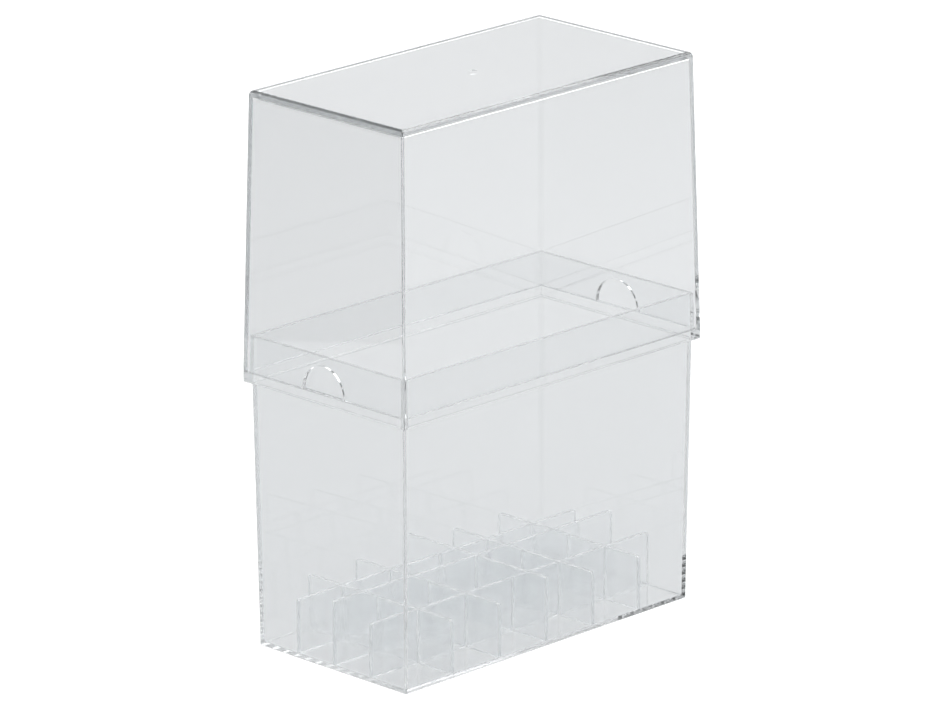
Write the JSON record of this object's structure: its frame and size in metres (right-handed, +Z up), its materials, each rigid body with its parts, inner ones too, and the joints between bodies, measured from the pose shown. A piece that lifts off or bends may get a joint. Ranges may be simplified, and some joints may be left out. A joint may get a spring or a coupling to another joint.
{
  "type": "marker storage case",
  "caption": "Clear upright storage case: a tapered base with a locating collar, a lift-off lid with thumb notches, and a loose egg-crate insert that stands markers on end.",
  "frame": {"origin": "middle of the base's underside, where the case stands", "axes": "+X along the case, +Y across it, +Z up"},
  "size_m": [0.122, 0.0658, 0.167],
  "materials": {
    "base_plastic": "clear moulded polystyrene, high gloss, with fine handling scratches",
    "lid_plastic": "clear moulded polystyrene, high gloss, with fine handling scratches",
    "divider_plastic": "clear polystyrene slat, gloss faces with slightly rounded edges"
  },
  "bodies": {
    "base": {"base_shell": "base_plastic"},
    "lid": {"lid_shell": "lid_plastic"},
    "insert": {"long_divider_front": "divider_plastic", "long_divider_middle": "divider_plastic", "long_divider_back": "divider_plastic", "short_divider_1": "divider_plastic", "short_divider_2": "divider_plastic", "short_divider_3": "divider_plastic", "short_divider_4": "divider_plastic", "short_divider_5": "divider_plastic"}
  },
  "joints": [
    {"name": "lid_lift", "type": "slide", "parent": "base", "child": "lid", "axis": [0, 0, 1], "range_m": [0, 0.09]},
    {"name": "insert_lift", "type": "slide", "parent": "base", "child": "insert", "axis": [0, 0, 1], "range_m": [0, 0.095]}
  ]
}
